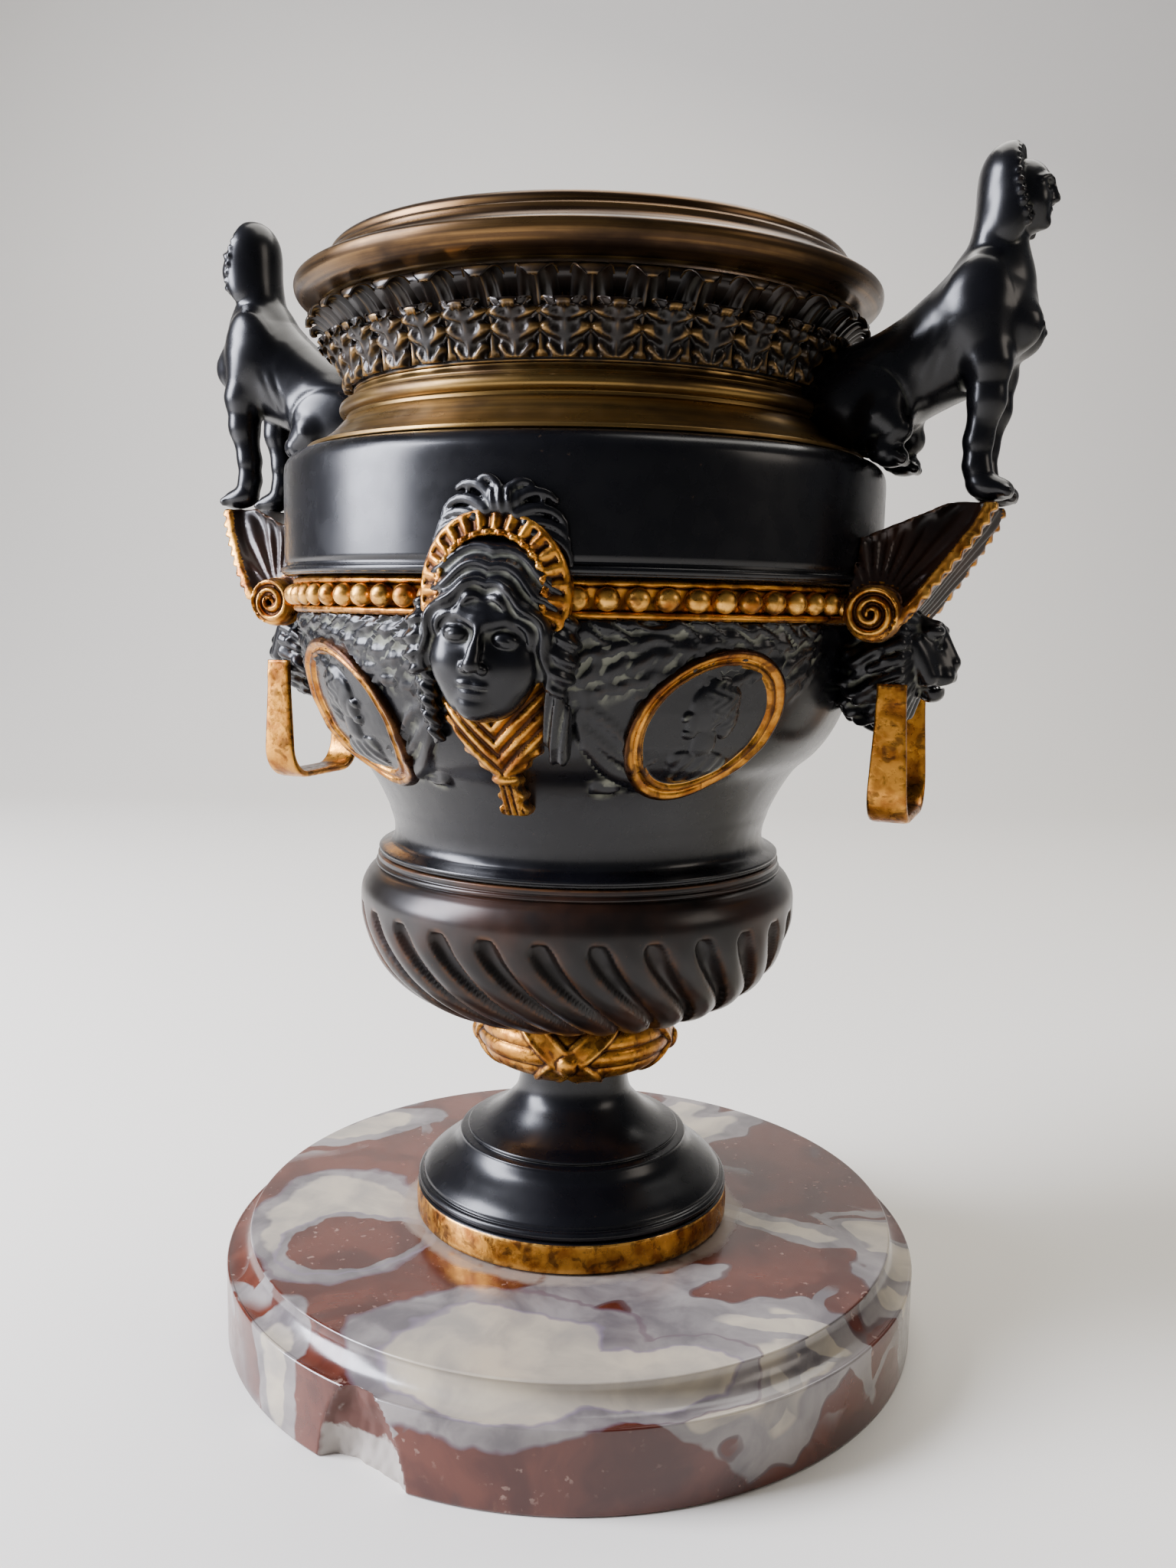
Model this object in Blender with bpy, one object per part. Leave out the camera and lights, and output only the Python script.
"""Medici vase in patinated and gilt bronze, with sphinx handles, on a round marble plinth.

The scene is in metres with +Z up. The origin is the centre of the plinth's underside, the two
handles stand on the X axis and the front mask looks along -Y. Sizes below are in millimetres.
"""
import math

import bmesh
import bpy
from mathutils import Matrix, Vector

MM = 0.001

# Clearance between pieces that touch
GAP = 0.3

# Marble plinth
BASE_RADIUS = 72.0
BASE_HEIGHT = 21.1
BASE_COVE = 5.0
BASE_SIDE_SHARE = 0.74
CHIP_TURN = -8.0
CHIP_WIDTH = 20.0
CHIP_DEPTH = 3.2

# Heights of the turned stack, piece by piece from the plinth's top
FOOT_HEIGHT = 31.9
KNOP_HEIGHT = 12.0
BOWL_HEIGHT = 32.7
WAIST_HEIGHT = 47.4
BEAD_BAND_HEIGHT = 6.6
DRUM_HEIGHT = 23.0
COLLAR_HEIGHT = 11.7
NECK_HEIGHT = 14.4
RIM_HEIGHT = 11.1

# Radii of the turned stack
FOOT_RADIUS = 33.0
STEM_RADIUS = 11.3
KNOP_RADIUS = 21.3
BOWL_RADIUS = 44.6
BOWL_SEAT_RADIUS = 19.5
WAIST_RADIUS = 37.8
DRUM_RADIUS = 59.1
COLLAR_RADIUS = 48.3
NECK_RADIUS = 45.8
LIP_RADIUS = 57.0
MOUTH_RADIUS = 46.6
WALL = 3.0
SEAT = 2.2

# Repeats around the vase
FLUTES = 27
FLUTE_DEPTH = 1.3
FLUTE_TWIST = 26.0
FLUTE_START = 3.5
BEADS = 72
BEAD_SWELL = 1.9
FILLET = 1.1
LEAVES = 36
LEAF_CURL = 2.6

# Sides of the turned pieces, shared by what seats on them, and the angle in degrees under which
# an ornament's facets are merged
FLATNESS = 2.4
SIDES = 28

# Handles
SPHINX_HEIGHT = 61.6
PAW_SPREAD = 6.0
PAWS_BELOW_SHOULDER = 8.2
BRACKET_REACH = 21.8
VOLUTE_SPREAD = 19.0
VOLUTE_RADIUS = 4.9
VOLUTE_WIDTH = 7.2
LION_WIDTH = 24.0
STRAP_DROP = 25.0
STRAP_THICKNESS = 1.6
STRAP_WIDTH = 7.0
STRAP_BEND = 6.0
STRAP_STAND = 5.6

# Masks and medallions
MASK_TURN = 7.5
MASK_HEAD_HEIGHT = 33.0
MEDALLION_TURN = 38.5
MEDALLION_LENGTH = 34.0
MEDALLION_WIDTH = 27.0
MEDALLION_LEAN = 40.0
MEDALLION_THICKNESS = 2.2

# Where each piece of the stack begins
FOOT_BASE = BASE_HEIGHT + GAP
KNOP_BASE = BASE_HEIGHT + FOOT_HEIGHT + GAP
BOWL_BASE = KNOP_BASE + KNOP_HEIGHT + GAP
WAIST_BASE = BOWL_BASE + BOWL_HEIGHT + GAP
BEAD_BASE = WAIST_BASE + WAIST_HEIGHT + GAP
DRUM_BASE = BEAD_BASE + BEAD_BAND_HEIGHT + GAP
COLLAR_BASE = DRUM_BASE + DRUM_HEIGHT + GAP
NECK_BASE = COLLAR_BASE + COLLAR_HEIGHT + GAP
RIM_BASE = NECK_BASE + NECK_HEIGHT + GAP
TOP = RIM_BASE + RIM_HEIGHT


def clear_scene():
    for item in list(bpy.data.objects):
        bpy.data.objects.remove(item, do_unlink=True)


def make_material(name, color, roughness, metallic):
    material = bpy.data.materials.new(name)
    material.use_nodes = True
    shader = material.node_tree.nodes["Principled BSDF"]
    shader.inputs["Base Color"].default_value = (*color, 1.0)
    shader.inputs["Roughness"].default_value = roughness
    shader.inputs["Metallic"].default_value = metallic
    material.diffuse_color = (*color, 1.0)
    return material


def object_from(name, mesh_builder, material=None):
    """An object from a bmesh in millimetres, faces turned outwards."""
    bmesh.ops.remove_doubles(mesh_builder, verts=mesh_builder.verts, dist=0.001)
    bmesh.ops.recalc_face_normals(mesh_builder, faces=mesh_builder.faces)
    mesh = bpy.data.meshes.new(name)
    mesh_builder.to_mesh(mesh)
    mesh_builder.free()
    mesh.transform(Matrix.Scale(MM, 4))
    mesh.shade_smooth()
    mesh.set_sharp_from_angle(angle=math.radians(35))
    if material:
        mesh.materials.append(material)
    item = bpy.data.objects.new(name, mesh)
    bpy.context.scene.collection.objects.link(item)
    return item


def bridge(builder, lower, upper):
    """Faces between two closed rings that start at one angle; they may differ in their number of points."""
    below, above = len(lower), len(upper)
    if below == above:
        for place in range(below):
            following = (place + 1) % below
            builder.faces.new((lower[place], lower[following], upper[following], upper[place]))
        return
    step_below = step_above = 0
    while step_below < below or step_above < above:
        behind = (step_below + 1) * above <= (step_above + 1) * below
        if step_above == above or (step_below < below and behind):
            following = lower[(step_below + 1) % below]
            builder.faces.new((lower[step_below], following, upper[step_above % above]))
            step_below += 1
        else:
            following = upper[(step_above + 1) % above]
            builder.faces.new((lower[step_below % below], following, upper[step_above]))
            step_above += 1


def skin(name, rings, material=None, hollow=False):
    """A closed body over rings of points: a ring body when hollow, else capped at both ends."""
    builder = bmesh.new()
    rows = [[builder.verts.new(point) for point in ring] for ring in rings]
    for lower, upper in zip(rows, rows[1:]):
        bridge(builder, lower, upper)
    if hollow:
        bridge(builder, rows[-1], rows[0])
    else:
        builder.faces.new(rows[0])
        builder.faces.new(rows[-1])
    return object_from(name, builder, material)


def circle(radius, height, sides=SIDES, wave=None):
    """Points of one turned ring; wave(angle) adds to the radius."""
    points = []
    for step in range(sides):
        angle = 2 * math.pi * step / sides
        reach = radius + (wave(angle) if wave else 0.0)
        points.append(Vector((reach * math.cos(angle), reach * math.sin(angle), height)))
    return points


def between(low, high, share):
    return low + (high - low) * share


def smooth_step(share):
    share = min(max(share, 0.0), 1.0)
    return share * share * (3.0 - 2.0 * share)


def waist_profile():
    """Outer radius and height of the waist, from the bowl's lip to the bead band."""
    flare = DRUM_RADIUS - 2.4 - WAIST_RADIUS
    shares = [(0.16, 0.0), (0.0, 0.1), (0.04, 0.2), (0.27, 0.37), (0.47, 0.475), (0.67, 0.6), (0.86, 0.77),
              (1.0, 1.0)]
    return [(WAIST_RADIUS + flare * out, WAIST_BASE + WAIST_HEIGHT * up) for out, up in shares]


def drum_profile():
    lip = DRUM_RADIUS + 0.4
    top = DRUM_BASE + DRUM_HEIGHT
    return [(lip, DRUM_BASE), (lip, DRUM_BASE + 1.8), (DRUM_RADIUS, DRUM_BASE + 2.6),
            (DRUM_RADIUS, top - 3.0), (DRUM_RADIUS - 0.9, top - 1.0), (DRUM_RADIUS - 3.0, top)]


def collar_profile():
    """The concave brass collar, its bead and its top edge."""
    foot = DRUM_RADIUS - 4.3
    throat = COLLAR_RADIUS - 1.2
    shares = [(1.0, 0.0), (0.5, 0.25), (0.16, 0.43), (0.0, 0.54)]
    cove = [(between(throat, foot, out), COLLAR_BASE + COLLAR_HEIGHT * up) for out, up in shares]
    bead = [(COLLAR_RADIUS, COLLAR_BASE + COLLAR_HEIGHT * 0.66),
            (COLLAR_RADIUS, COLLAR_BASE + COLLAR_HEIGHT * 0.82),
            (NECK_RADIUS, COLLAR_BASE + COLLAR_HEIGHT)]
    return cove + bead


def neck_profile():
    """The neck behind the leaves, from the collar to under the rolled lip."""
    swell = LIP_RADIUS - 5.0 - NECK_RADIUS
    shares = [(0.0, 0.0), (0.1, 0.26), (0.35, 0.57), (0.68, 0.7), (1.0, 0.82), (0.82, 1.0)]
    return [(NECK_RADIUS + swell * out, NECK_BASE + NECK_HEIGHT * up) for out, up in shares]


def leaf_lifts():
    """How far the leaves stand out at each row of the neck's profile."""
    return [0.0, 0.0, 1.0, LEAF_CURL * 0.7, LEAF_CURL, 0.0]


def bead_radius():
    return DRUM_RADIUS - 1.6


def wall_radius(height):
    """Outer radius of the vase at a height between the waist and the neck."""
    outline = waist_profile() + drum_profile() + collar_profile() + neck_profile()
    for (low_radius, low), (high_radius, high) in zip(outline, outline[1:]):
        if low <= height <= high:
            return between(low_radius, high_radius, (height - low) / (high - low))
    return outline[0][0] if height < outline[0][1] else outline[-1][0]


def ring_body(name, outer, inner, material, sides=SIDES):
    """A turned ring: outer profile going up, inner profile going up."""
    rings = [circle(radius, height, sides) for radius, height in outer]
    rings += [circle(radius, height, sides) for radius, height in reversed(inner)]
    return skin(name, rings, material, hollow=True)


def make_base(material):
    side = BASE_HEIGHT * BASE_SIDE_SHARE
    rise = BASE_HEIGHT - side
    edge = BASE_RADIUS - BASE_COVE
    rings = [circle(BASE_RADIUS - 0.5, 0.0), circle(BASE_RADIUS, 0.6), circle(BASE_RADIUS, side - 0.5),
             circle(BASE_RADIUS - 0.8, side)]
    for step in range(4):
        angle = 0.5 * math.pi * step / 3
        radius = edge + (BASE_COVE - 1.2) * (1.0 - math.sin(angle))
        rings.append(circle(radius, side + rise * (0.04 + 0.96 * (1.0 - math.cos(angle)))))
    base = skin("marble_base", rings, material)
    turn = math.radians(CHIP_TURN - 90.0)
    rough = [(0.0, 0.0, 1.0), (-0.5, 0.1, 0.2), (-0.42, 0.5, 0.6), (-0.1, 0.78, 0.5), (0.3, 0.7, 0.3),
             (0.5, 0.35, 0.7), (0.46, 0.02, 0.2)]
    builder = bmesh.new()
    for across, up, depth in rough:
        for reach in (BASE_RADIUS - CHIP_DEPTH * depth, BASE_RADIUS + 4.0):
            spread = 1.0 if reach < BASE_RADIUS else 1.15
            place = Vector((across * CHIP_WIDTH * spread, -reach, side * up * spread - 1.0))
            builder.verts.new(Matrix.Rotation(turn + math.pi / 2, 3, "Z") @ place)
    bmesh.ops.convex_hull(builder, input=builder.verts)
    cutter = object_from("chip_cutter", builder)
    return cut(base, [cutter])


def make_foot(material):
    rise = FOOT_HEIGHT - GAP
    band = [(FOOT_RADIUS, 0.0), (FOOT_RADIUS, 0.175), (FOOT_RADIUS - 0.9, 0.197), (FOOT_RADIUS - 0.3, 0.218),
            (FOOT_RADIUS - 0.5, 0.253)]
    shares = [(0.91, 0.297), (0.8, 0.375), (0.655, 0.445), (0.56, 0.559), (0.37, 0.629), (0.3, 0.699),
              (0.02, 0.83), (0.0, 1.0)]
    dome = [(between(STEM_RADIUS, FOOT_RADIUS, out), up) for out, up in shares]
    rings = [circle(radius, FOOT_BASE + rise * up, 18) for radius, up in band + dome]
    return skin("foot", rings, material)


def make_knop(material):
    """Three reeds side by side, bound into a cushion."""
    seat = KNOP_RADIUS - 6.8
    shares = [(seat, 0.0), (KNOP_RADIUS - 2.6, 0.13), (KNOP_RADIUS - 1.8, 0.28), (KNOP_RADIUS - 2.6, 0.36),
              (KNOP_RADIUS - 0.5, 0.45), (KNOP_RADIUS, 0.55), (KNOP_RADIUS - 0.7, 0.65),
              (KNOP_RADIUS - 1.5, 0.69), (KNOP_RADIUS - 0.3, 0.8), (KNOP_RADIUS - 0.9, 0.91),
              (KNOP_RADIUS - 2.8, 1.0)]
    rings = [circle(radius, KNOP_BASE + KNOP_HEIGHT * up, 16) for radius, up in shares]
    return skin("ribbon_knop", rings, material)


def make_bowl(material):
    """Lower bowl with flutes that sweep to the right as they run down."""
    shares = [(0.0, 0.0), (0.42, 0.09), (0.72, 0.232), (0.9, 0.38), (0.985, 0.581), (1.0, 0.722)]
    outer = [(between(BOWL_SEAT_RADIUS, BOWL_RADIUS, out), up) for out, up in shares]
    sides = FLUTES * 2
    rings = []
    for radius, up in outer:
        turn = math.radians(FLUTE_START + FLUTE_TWIST * (1.0 - smooth_step(up / 0.722)) ** 1.4)
        depth = FLUTE_DEPTH * min(radius / BOWL_RADIUS, 1.0)
        ring = []
        for step in range(sides):
            angle = 2 * math.pi * step / sides + turn
            reach = radius if step % 2 else radius - depth
            ring.append(Vector((reach * math.cos(angle), reach * math.sin(angle),
                                BOWL_BASE + BOWL_HEIGHT * up)))
        rings.append(ring)
    crown = WAIST_RADIUS + 3.2
    brow = [(BOWL_RADIUS - 0.3, 0.832), (BOWL_RADIUS - 2.4, 0.942), (crown, 1.0)]
    rings += [circle(radius, BOWL_BASE + BOWL_HEIGHT * up, FLUTES) for radius, up in brow]
    inner = [(crown - WALL, 1.0), (BOWL_RADIUS - WALL - 1.2, 0.79), (BOWL_RADIUS - WALL - 3.5, 0.42),
             (BOWL_SEAT_RADIUS, 0.2)]
    rings += [circle(radius, BOWL_BASE + BOWL_HEIGHT * up, FLUTES) for radius, up in inner]
    return skin("fluted_bowl", rings, material)


def make_waist(material):
    outer = waist_profile()
    inner = [(radius - WALL, height) for radius, height in (outer[0], outer[2], outer[-1])]
    return ring_body("waist", outer, inner, material)


def make_bead_band(material):
    """Gilt beads between two fillets."""
    mid = bead_radius()
    low = BEAD_BASE
    top = BEAD_BASE + BEAD_BAND_HEIGHT

    def wave(angle):
        return BEAD_SWELL * (0.65 + 0.35 * math.cos(BEADS * angle))

    rings = [circle(mid, low), circle(mid, low + FILLET),
             circle(mid, (low + top) / 2, BEADS * 2, wave),
             circle(mid, top - FILLET), circle(mid, top)]
    inner = [circle(mid - WALL, top), circle(mid - WALL, low)]
    return skin("bead_band", rings + inner, material, hollow=True)


def make_drum(material):
    outer = drum_profile()
    bore = bead_radius() - WALL
    top = DRUM_BASE + DRUM_HEIGHT
    inner = [(bore, DRUM_BASE), (bore, top - WALL), (bore - SEAT, top)]
    return ring_body("drum", outer, inner, material)


def make_collar(material):
    outer = collar_profile()
    bore = NECK_RADIUS - WALL
    inner = [(outer[0][0] - WALL, outer[0][1]), (outer[1][0] - WALL, outer[1][1] - WALL * 0.4),
             (bore, outer[3][1]), (bore, outer[-1][1])]
    return ring_body("brass_collar", outer, inner, material)


def make_neck(material):
    """Neck with a ring of leaves whose tips curl outwards."""
    profile = neck_profile()
    sides = LEAVES * 2
    rings = []
    for (radius, height), lift in zip(profile, leaf_lifts()):

        def wave(angle, lift=lift):
            return lift * math.cos(LEAVES * angle)

        count = sides if lift else SIDES
        rings.append(circle(radius, height, count, wave))
    bore = NECK_RADIUS - WALL
    rings += [circle(bore + 1.6, profile[-1][1]), circle(bore, profile[0][1])]
    return skin("leaf_neck", rings, material, hollow=True)


def make_rim(material):
    under = LIP_RADIUS - 4.6
    ring = LIP_RADIUS - 6.8
    outer = [(under, 0.0), (LIP_RADIUS - 1.4, 0.12), (LIP_RADIUS, 0.32), (LIP_RADIUS - 0.8, 0.46),
             (LIP_RADIUS - 3.4, 0.54), (ring + 0.5, 0.74), (ring, 1.0)]
    inner = [(MOUTH_RADIUS, 0.0), (MOUTH_RADIUS, 1.0)]
    return ring_body("rim", [(radius, RIM_BASE + RIM_HEIGHT * up) for radius, up in outer],
                     [(radius, RIM_BASE + RIM_HEIGHT * up) for radius, up in inner], material)


def loft(name, sections, sides=10, squareness=1.0):
    """A closed body over oval sections, each a centre and two half axes."""
    rings = []
    for centre, across, over in sections:
        ring = []
        for step in range(sides):
            angle = 2 * math.pi * step / sides
            cosine, sine = math.cos(angle), math.sin(angle)
            cosine = math.copysign(abs(cosine) ** squareness, cosine)
            sine = math.copysign(abs(sine) ** squareness, sine)
            ring.append(centre + across * cosine + over * sine)
        rings.append(ring)
    return skin(name, rings)


def side_sections(outline, offset=0.0):
    """Sections across the XZ plane from (back x, back z, belly x, belly z, half width)."""
    sections = []
    for back_x, back_z, belly_x, belly_z, half in outline:
        back = Vector((back_x, offset, back_z))
        belly = Vector((belly_x, offset, belly_z))
        sections.append(((back + belly) / 2, (back - belly) / 2, Vector((0.0, half, 0.0))))
    return sections


def stacked(levels, y=0.0):
    """Level sections from (z, lowest x, highest x, half width)."""
    sections = []
    for height, near, far, half in levels:
        centre = Vector(((near + far) / 2, y, height))
        sections.append((centre, Vector(((far - near) / 2, 0.0, 0.0)), Vector((0.0, half, 0.0))))
    return sections


def grown(rows, unit, starts):
    """Rows of a free form's own proportions, brought to size and moved to where it starts."""
    return [tuple(start + unit * value for start, value in zip(starts, row)) for row in rows]


def apply_modifiers(item):
    depsgraph = bpy.context.evaluated_depsgraph_get()
    mesh = bpy.data.meshes.new_from_object(item.evaluated_get(depsgraph))
    item.modifiers.clear()
    item.data = mesh


def boolean(item, others, operation):
    for other in others:
        modifier = item.modifiers.new(operation.lower(), "BOOLEAN")
        modifier.operation = operation
        modifier.solver = "EXACT"
        modifier.object = other
    bpy.context.view_layer.update()
    apply_modifiers(item)
    for other in others:
        bpy.data.objects.remove(other, do_unlink=True)
    return item


def cut(item, cutters):
    return boolean(item, cutters, "DIFFERENCE")


def join(item, others):
    return boolean(item, others, "UNION")


def tidy_faces(item):
    """Drops slivers that the cuts leave and turns the faces outwards."""
    builder = bmesh.new()
    builder.from_mesh(item.data)
    bmesh.ops.remove_doubles(builder, verts=builder.verts, dist=0.02 * MM)
    bmesh.ops.dissolve_degenerate(builder, dist=0.01 * MM, edges=builder.edges)
    bmesh.ops.dissolve_limit(builder, angle_limit=math.radians(FLATNESS), verts=builder.verts,
                             edges=builder.edges)
    bmesh.ops.triangulate(builder, faces=builder.faces)
    bmesh.ops.recalc_face_normals(builder, faces=builder.faces)
    builder.to_mesh(item.data)
    builder.free()
    return item


def clearance_copy(item):
    """A copy grown by the clearance, to cut a neighbour with."""
    copy = item.copy()
    copy.data = item.data.copy()
    bpy.context.scene.collection.objects.link(copy)
    grow = copy.modifiers.new("grow", "DISPLACE")
    grow.strength = GAP * MM
    grow.mid_level = 0.0
    bpy.context.view_layer.update()
    apply_modifiers(copy)
    return copy


def vase_envelope():
    """The vase's turned outside grown by the clearance; ornaments are cut to sit on it."""
    beads = bead_radius() + BEAD_SWELL
    outline = waist_profile()
    outline += [(beads, BEAD_BASE), (beads, BEAD_BASE + BEAD_BAND_HEIGHT)]
    leaves = [(radius + lift, height) for (radius, height), lift in zip(neck_profile(), leaf_lifts())]
    outline += drum_profile() + collar_profile() + leaves
    rings = [circle(radius + GAP, height) for radius, height in outline]
    return skin("envelope", rings)


def finish(item, name, material):
    item.name = name
    item.data.name = name
    item.data.materials.clear()
    item.data.materials.append(material)
    tidy_faces(item)
    item.data.shade_smooth()
    item.data.set_sharp_from_angle(angle=math.radians(40))
    return item


def place(item, angle):
    """Turns an ornament about the vase's axis, in its mesh."""
    item.data.transform(Matrix.Rotation(math.radians(angle), 4, "Z"))
    return item


def bracket_seat():
    """Height at which the sphinx's forepaws stand."""
    return DRUM_BASE + DRUM_HEIGHT - PAWS_BELOW_SHOULDER


def make_bracket():
    """Leaf bracket: narrow under the paws, wide at its two volutes."""
    near = DRUM_RADIUS - WALL
    foot = BEAD_BASE + GAP
    rise = bracket_seat() - foot
    edge = [(0.0, 0.34, 1.0), (0.17, 0.49, 0.97), (0.38, 0.63, 0.87), (0.58, 0.77, 0.75),
            (0.68, 0.83, 0.69), (0.81, 0.92, 0.61), (1.0, 1.0, 0.52)]
    levels = []
    for up, out, spread in edge:
        inner = near + max(up - 0.66, 0.0) * BRACKET_REACH * 2
        levels.append((foot + rise * up, inner, DRUM_RADIUS + BRACKET_REACH * out, VOLUTE_SPREAD * spread))
    bracket = loft("bracket", stacked(levels), 10, 0.8)
    scrolls = []
    for side in (-1, 1):
        centre = Vector((DRUM_RADIUS + VOLUTE_RADIUS / 2, side * (VOLUTE_SPREAD - VOLUTE_WIDTH * 0.28),
                         foot + VOLUTE_RADIUS * 0.3))
        rings = []
        for reach, radius in ((-0.5, 1.0), (0.42, 1.0), (0.5, 0.75)):
            ring = []
            for step in range(10):
                angle = 2 * math.pi * step / 10
                spoke = VOLUTE_RADIUS * radius
                ring.append(centre + Vector((spoke * math.cos(angle), side * reach * VOLUTE_WIDTH,
                                             spoke * math.sin(angle))))
            rings.append(ring)
        scrolls.append(skin("scroll", rings))
    return join(bracket, scrolls)


def lion_middle():
    return BEAD_BASE - LION_WIDTH * 0.375


def make_lion():
    """Lion's head looking outwards, its mane running back onto the waist."""
    unit = LION_WIDTH / 24.0
    starts = (DRUM_RADIUS, lion_middle(), DRUM_RADIUS, lion_middle(), 0.0)
    mane = [(-8.0, 9.0, -8.0, -9.0, 11.0), (0.0, 11.5, -1.5, -10.0, 12.0), (6.0, 12.0, 4.0, -8.5, 12.0),
            (10.5, 11.0, 8.8, -5.5, 9.6), (12.4, 8.6, 11.5, -3.0, 6.5)]
    muzzle = [(8.0, 6.5, 8.0, -4.5, 7.0), (12.6, 4.8, 11.4, -4.8, 6.4), (14.9, 2.4, 12.8, -4.6, 4.6),
              (15.4, 1.2, 13.8, -3.0, 2.6)]
    head = loft("lion", side_sections(grown(mane, unit, starts)), 12, 0.85)
    return join(head, [loft("muzzle", side_sections(grown(muzzle, unit, starts)), 10, 0.9)])


def make_strap():
    """Flat U-shaped strap that hangs from the lion's jaws."""
    top = lion_middle() - LION_WIDTH / 16
    middle = DRUM_RADIUS + STRAP_STAND
    half = LION_WIDTH / 2 + STRAP_THICKNESS / 2
    path = [(-half, top), (-half, top - STRAP_DROP * 0.4), (-half, top - STRAP_DROP + STRAP_BEND)]
    for step in range(1, 4):
        angle = 0.5 * math.pi * step / 3
        path.append((-half + STRAP_BEND * (1 - math.cos(angle)),
                     top - STRAP_DROP + STRAP_BEND * (1 - math.sin(angle))))
    path += [(-y, z) for y, z in reversed(path)]
    rings = []
    for place_on, (y, z) in enumerate(path):
        before = Vector(path[max(place_on - 1, 0)])
        after = Vector(path[min(place_on + 1, len(path) - 1)])
        along = (after - before).normalized()
        normal = Vector((0.0, -along.y, along.x)) * STRAP_THICKNESS / 2
        width = STRAP_WIDTH * between(0.76, 1.0, smooth_step((top - z) / STRAP_DROP))
        side = Vector((width / 2, 0.0, 0.0))
        centre = Vector((middle, y, z))
        rings.append([centre - side - normal, centre + side - normal, centre + side + normal,
                      centre - side + normal])
    return skin("strap", rings)


def make_sphinx():
    """Sphinx standing on the bracket with its forepaws, haunches on the vase's shoulder."""
    unit = SPHINX_HEIGHT / 61.6
    seat = bracket_seat()
    out = DRUM_RADIUS
    starts = (out, seat, out, seat, 0.0)
    body = [(-13.0, 25.9, -11.0, 16.4, 5.5), (-9.6, 27.9, -7.0, 10.9, 9.0), (-3.4, 28.7, 0.4, 10.9, 10.8),
            (1.6, 31.4, 6.4, 15.4, 10.0), (5.6, 34.4, 11.0, 16.8, 8.8), (9.0, 37.8, 18.0, 19.4, 9.2),
            (10.8, 41.0, 25.6, 27.0, 9.6), (11.6, 43.4, 25.4, 36.4, 8.2), (13.2, 45.4, 23.4, 42.8, 5.2)]
    head = [(42.0, 12.4, 22.0, 6.2), (45.8, 13.8, 24.0, 6.8), (50.4, 14.2, 26.6, 7.4),
            (54.9, 14.3, 26.4, 7.2), (59.0, 16.0, 25.0, 5.8), (61.6, 19.2, 23.4, 2.6)]
    foreleg = [(27.4, 15.0, 24.4, 3.6), (19.4, 14.0, 22.0, 3.6), (9.8, 12.6, 19.2, 3.1),
               (5.8, 12.6, 20.6, 3.3), (3.4, 12.8, 23.7, 3.7), (-1.0, 14.2, 23.4, 3.5)]
    haunch = [(-8.0, 22.4, -6.0, 11.4, 2.4), (-4.0, 25.0, -0.8, 8.4, 3.4), (1.0, 21.4, 3.6, 8.8, 3.2),
              (3.6, 14.8, 4.8, 10.0, 2.4)]
    hind_paw = [(-4.0, 10.4, -2.6, 5.4, 2.6), (1.2, 12.0, 1.2, 5.8, 3.0), (4.4, 10.4, 4.2, 6.8, 2.4)]
    level_starts = (seat, out, out, 0.0)
    pieces = [loft("head", stacked(grown(head, unit, level_starts)), 8)]
    for side in (-1, 1):
        legs = stacked(grown(foreleg, unit, level_starts), side * PAW_SPREAD)
        pieces.append(loft("foreleg", legs, 8))
        thigh = side_sections(grown(haunch, unit, starts), side * PAW_SPREAD * 1.37)
        pieces.append(loft("haunch", thigh, 6))
        paw = side_sections(grown(hind_paw, unit, starts), side * PAW_SPREAD * 1.23)
        pieces.append(loft("hind_paw", paw, 6))
    return join(loft("sphinx", side_sections(grown(body, unit, starts)), 8), pieces)


def make_mask():
    """Woman's mask: head, hair, arched diadem, side locks, collar and tassel, looking along -Y."""
    unit = MASK_HEAD_HEIGHT / 33.0
    chin = BEAD_BASE - MASK_HEAD_HEIGHT * 0.47
    out = DRUM_RADIUS

    def level(rows):
        sections = []
        for height, near, far, half in grown(rows, unit, (chin, out, out, 0.0)):
            centre = Vector((0.0, -(near + far) / 2, height))
            sections.append((centre, Vector((half, 0.0, 0.0)), Vector((0.0, (far - near) / 2, 0.0))))
        return sections

    face = level([(0.0, -9.3, 3.4, 3.4), (3.0, -9.3, 5.0, 6.2), (8.0, -9.3, 5.6, 8.6),
                  (13.2, -9.3, 5.6, 9.0), (18.2, -7.4, 6.2, 9.0), (24.2, -7.4, 5.4, 7.6)])
    hair = level([(8.4, -8.1, -0.4, 12.2), (12.0, -8.1, 1.8, 13.4), (17.0, -6.3, 3.4, 13.0),
                  (22.0, -6.3, 4.4, 12.6), (28.0, -6.3, 4.6, 11.2), (33.0, -6.3, 3.4, 8.6),
                  (37.0, -6.3, 1.6, 7.0)])
    collar = level([(-21.0, -20.0, -13.2, 2.2), (-16.0, -18.0, -10.6, 2.8), (-12.6, -16.0, -7.6, 2.6),
                    (-7.0, -14.0, -3.4, 8.0), (-1.0, -12.0, -0.6, 11.4), (9.0, -8.0, 0.2, 12.2)])
    arch = []
    for step in range(7):
        angle = math.pi * step / 6
        ring = []
        for radius, stand in ((11.8, 2.4), (12.4, 5.2), (8.2, 5.6), (7.6, 2.4)):
            ring.append(Vector((unit * radius * math.cos(angle), -out - unit * stand,
                                chin + unit * (19.6 + radius * math.sin(angle)))))
        arch.append(ring)
    pieces = [loft("hair", hair, 10), loft("collar", collar, 8), skin("diadem", arch)]
    return join(loft("face", face, 10), pieces)


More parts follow.
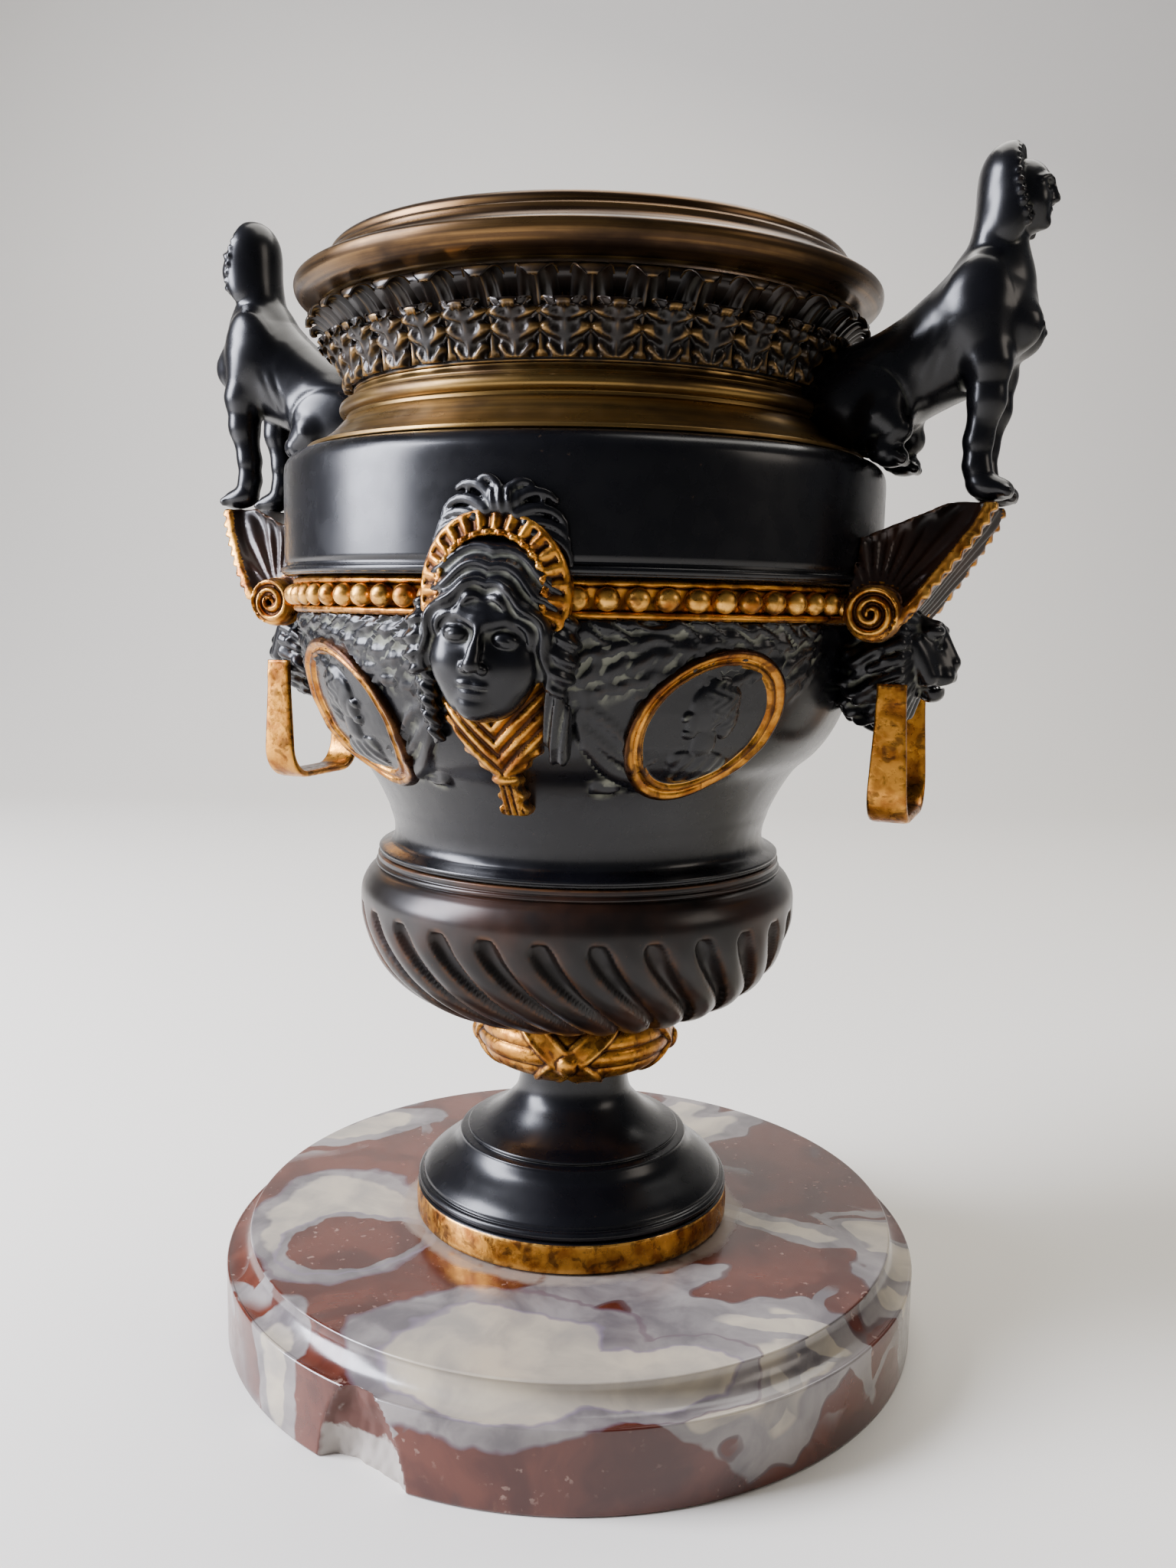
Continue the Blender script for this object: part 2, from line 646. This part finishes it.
def make_medallion(lean):
    """Oval double-ring frame with a raised bust, bent to the wall, facing -Y."""
    middle = WAIST_BASE + WAIST_HEIGHT * 0.63
    tilt = math.radians(lean)
    rows = [(1.0, -1.4), (0.97, 0.9), (0.87, 0.7), (0.79, 0.9), (0.74, 0.3), (0.3, 0.8)]
    rings = []
    for share, lift in rows:
        ring = []
        for step in range(12):
            angle = 2 * math.pi * step / 12
            along = share * MEDALLION_LENGTH / 2 * math.cos(angle)
            over = share * MEDALLION_WIDTH / 2 * math.sin(angle)
            across = along * math.sin(tilt) + over * math.cos(tilt)
            up = (along * math.cos(tilt) - over * math.sin(tilt)) * 0.88
            height = middle + up
            radius = wall_radius(height) + lift * MEDALLION_THICKNESS
            turn = across / wall_radius(middle)
            ring.append(Vector((radius * math.sin(turn), -radius * math.cos(turn), height)))
        rings.append(ring)
    return skin("medallion", rings)


def build():
    clear_scene()
    marble = make_material("marble", (0.21, 0.07, 0.045), 0.25, 0.0)
    bronze = make_material("black_bronze", (0.02, 0.02, 0.024), 0.35, 1.0)
    brown = make_material("brown_bronze", (0.07, 0.035, 0.025), 0.4, 1.0)
    gilt = make_material("gilding", (0.62, 0.32, 0.07), 0.4, 1.0)
    brass = make_material("olive_brass", (0.28, 0.2, 0.1), 0.35, 1.0)
    make_base(marble)
    make_foot(bronze)
    make_knop(gilt)
    make_bowl(brown)
    make_waist(bronze)
    make_bead_band(gilt)
    make_drum(bronze)
    make_collar(brass)
    make_neck(brown)
    make_rim(brass)
    for label, angle in (("right", 0.0), ("left", 180.0)):
        bracket = cut(place(make_bracket(), angle), [vase_envelope()])
        lion = cut(place(make_lion(), angle), [vase_envelope(), clearance_copy(bracket)])
        strap = cut(place(make_strap(), angle), [clearance_copy(lion)])
        sphinx = cut(place(make_sphinx(), angle), [vase_envelope(), clearance_copy(bracket)])
        finish(bracket, f"bracket_{label}", brown)
        finish(lion, f"lion_mask_{label}", bronze)
        finish(strap, f"gilt_strap_{label}", gilt)
        finish(sphinx, f"sphinx_{label}", bronze)
    for label, angle in (("front", MASK_TURN), ("back", MASK_TURN + 180.0)):
        mask = cut(place(make_mask(), angle), [vase_envelope()])
        finish(mask, f"mask_{label}", bronze)
        for side, sign in (("right", 1), ("left", -1)):
            medallion = place(make_medallion(sign * MEDALLION_LEAN), angle + sign * MEDALLION_TURN)
            finish(cut(medallion, [vase_envelope()]), f"medallion_{label}_{side}", gilt)


build()
